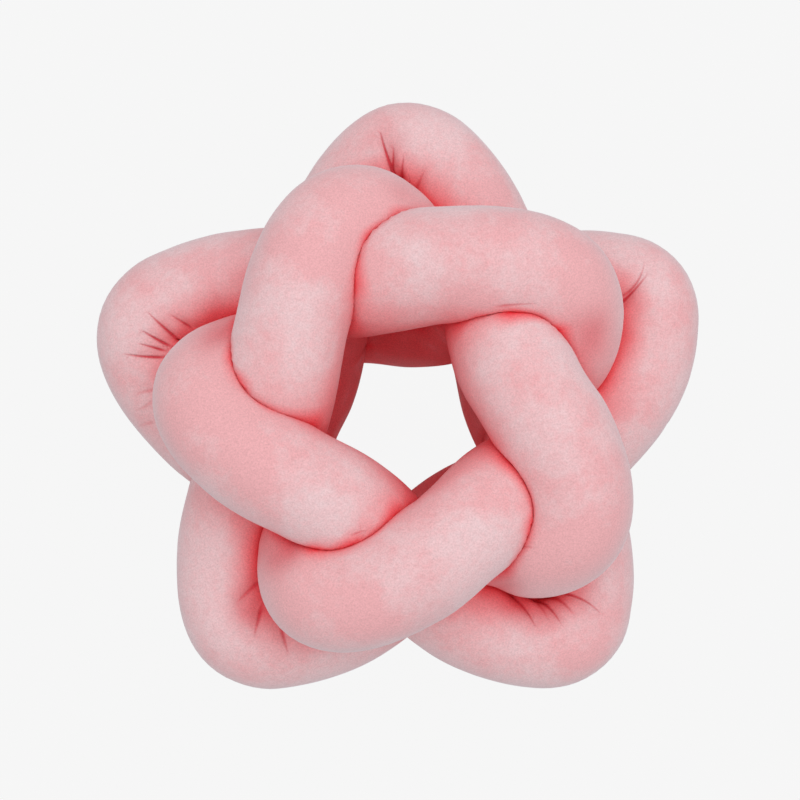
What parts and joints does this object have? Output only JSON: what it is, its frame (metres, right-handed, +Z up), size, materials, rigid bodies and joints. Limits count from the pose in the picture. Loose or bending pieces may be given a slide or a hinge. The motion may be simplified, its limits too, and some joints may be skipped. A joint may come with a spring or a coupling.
{
  "type": "knot cushion",
  "caption": "Knot cushion: a stuffed velvet tube tied in a thick star-shaped knot with an open middle, for a sofa, bed or chair.",
  "frame": {"origin": "middle of the cushion's outline, on the surface it lies on", "axes": "+Z up out of the cushion's face, +Y towards the star's upper point, +X across the star at its widest"},
  "size_m": [0.3962, 0.3852, 0.2175],
  "materials": {
    "velvet": "soft short-pile pink velvet"
  },
  "bodies": {
    "root": {"knot_tube": "velvet"}
  },
  "joints": []
}
